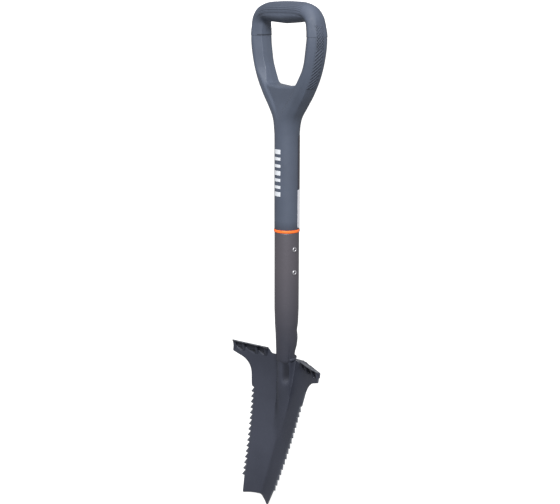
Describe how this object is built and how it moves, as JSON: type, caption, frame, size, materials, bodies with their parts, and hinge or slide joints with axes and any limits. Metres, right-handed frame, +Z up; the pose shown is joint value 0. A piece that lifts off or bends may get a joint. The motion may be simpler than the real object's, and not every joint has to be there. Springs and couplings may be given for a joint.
{
  "type": "digging shovel",
  "caption": "Short serrated digging shovel for metal detecting: dished saw-edged blade with foot steps, steel socket tube and a D-shaped plastic hand grip.",
  "frame": {"origin": "centre of the hand grip bar at the top of the D handle", "axes": "+Z up the shaft from the blade to the grip, +X to the right seen from the front, the front (open, dished face) of the blade faces -Y"},
  "size_m": [0.198, 0.0777, 0.7],
  "materials": {
    "blade_coat": "dark blue-grey powder coat, fine orange-peel, dull",
    "tube_coat": "grey metallic powder coat with a fine sparkle",
    "collar_orange": "satin moulded orange",
    "core_metal": "drawn, bare",
    "plug_plastic": "black moulded",
    "rivet_steel": "bright zinc plated",
    "handle_plastic": "slate blue-grey, fine mould grain, satin",
    "grip_rubber": "dark slate soft-touch, ribbed and diamond textured",
    "label_dark": "dark blank sticker",
    "label_white": "white blank sticker",
    "print_white": "white pad print"
  },
  "bodies": {
    "root": {"blade": "blade_coat", "collar_ring": "collar_orange", "core_plug_bottom": "plug_plastic", "core_plug_top": "plug_plastic", "core_tube": "core_metal", "grip_sleeve": "grip_rubber", "handle_frame": "handle_plastic", "label_lower": "label_white", "label_upper": "label_dark", "pad_left": "grip_rubber", "pad_right": "grip_rubber", "print_marks": "print_white", "rivet_lower": "rivet_steel", "rivet_upper": "rivet_steel", "shaft_tube": "tube_coat", "weld_back": "tube_coat", "weld_left": "tube_coat", "weld_right": "tube_coat"}
  },
  "joints": []
}
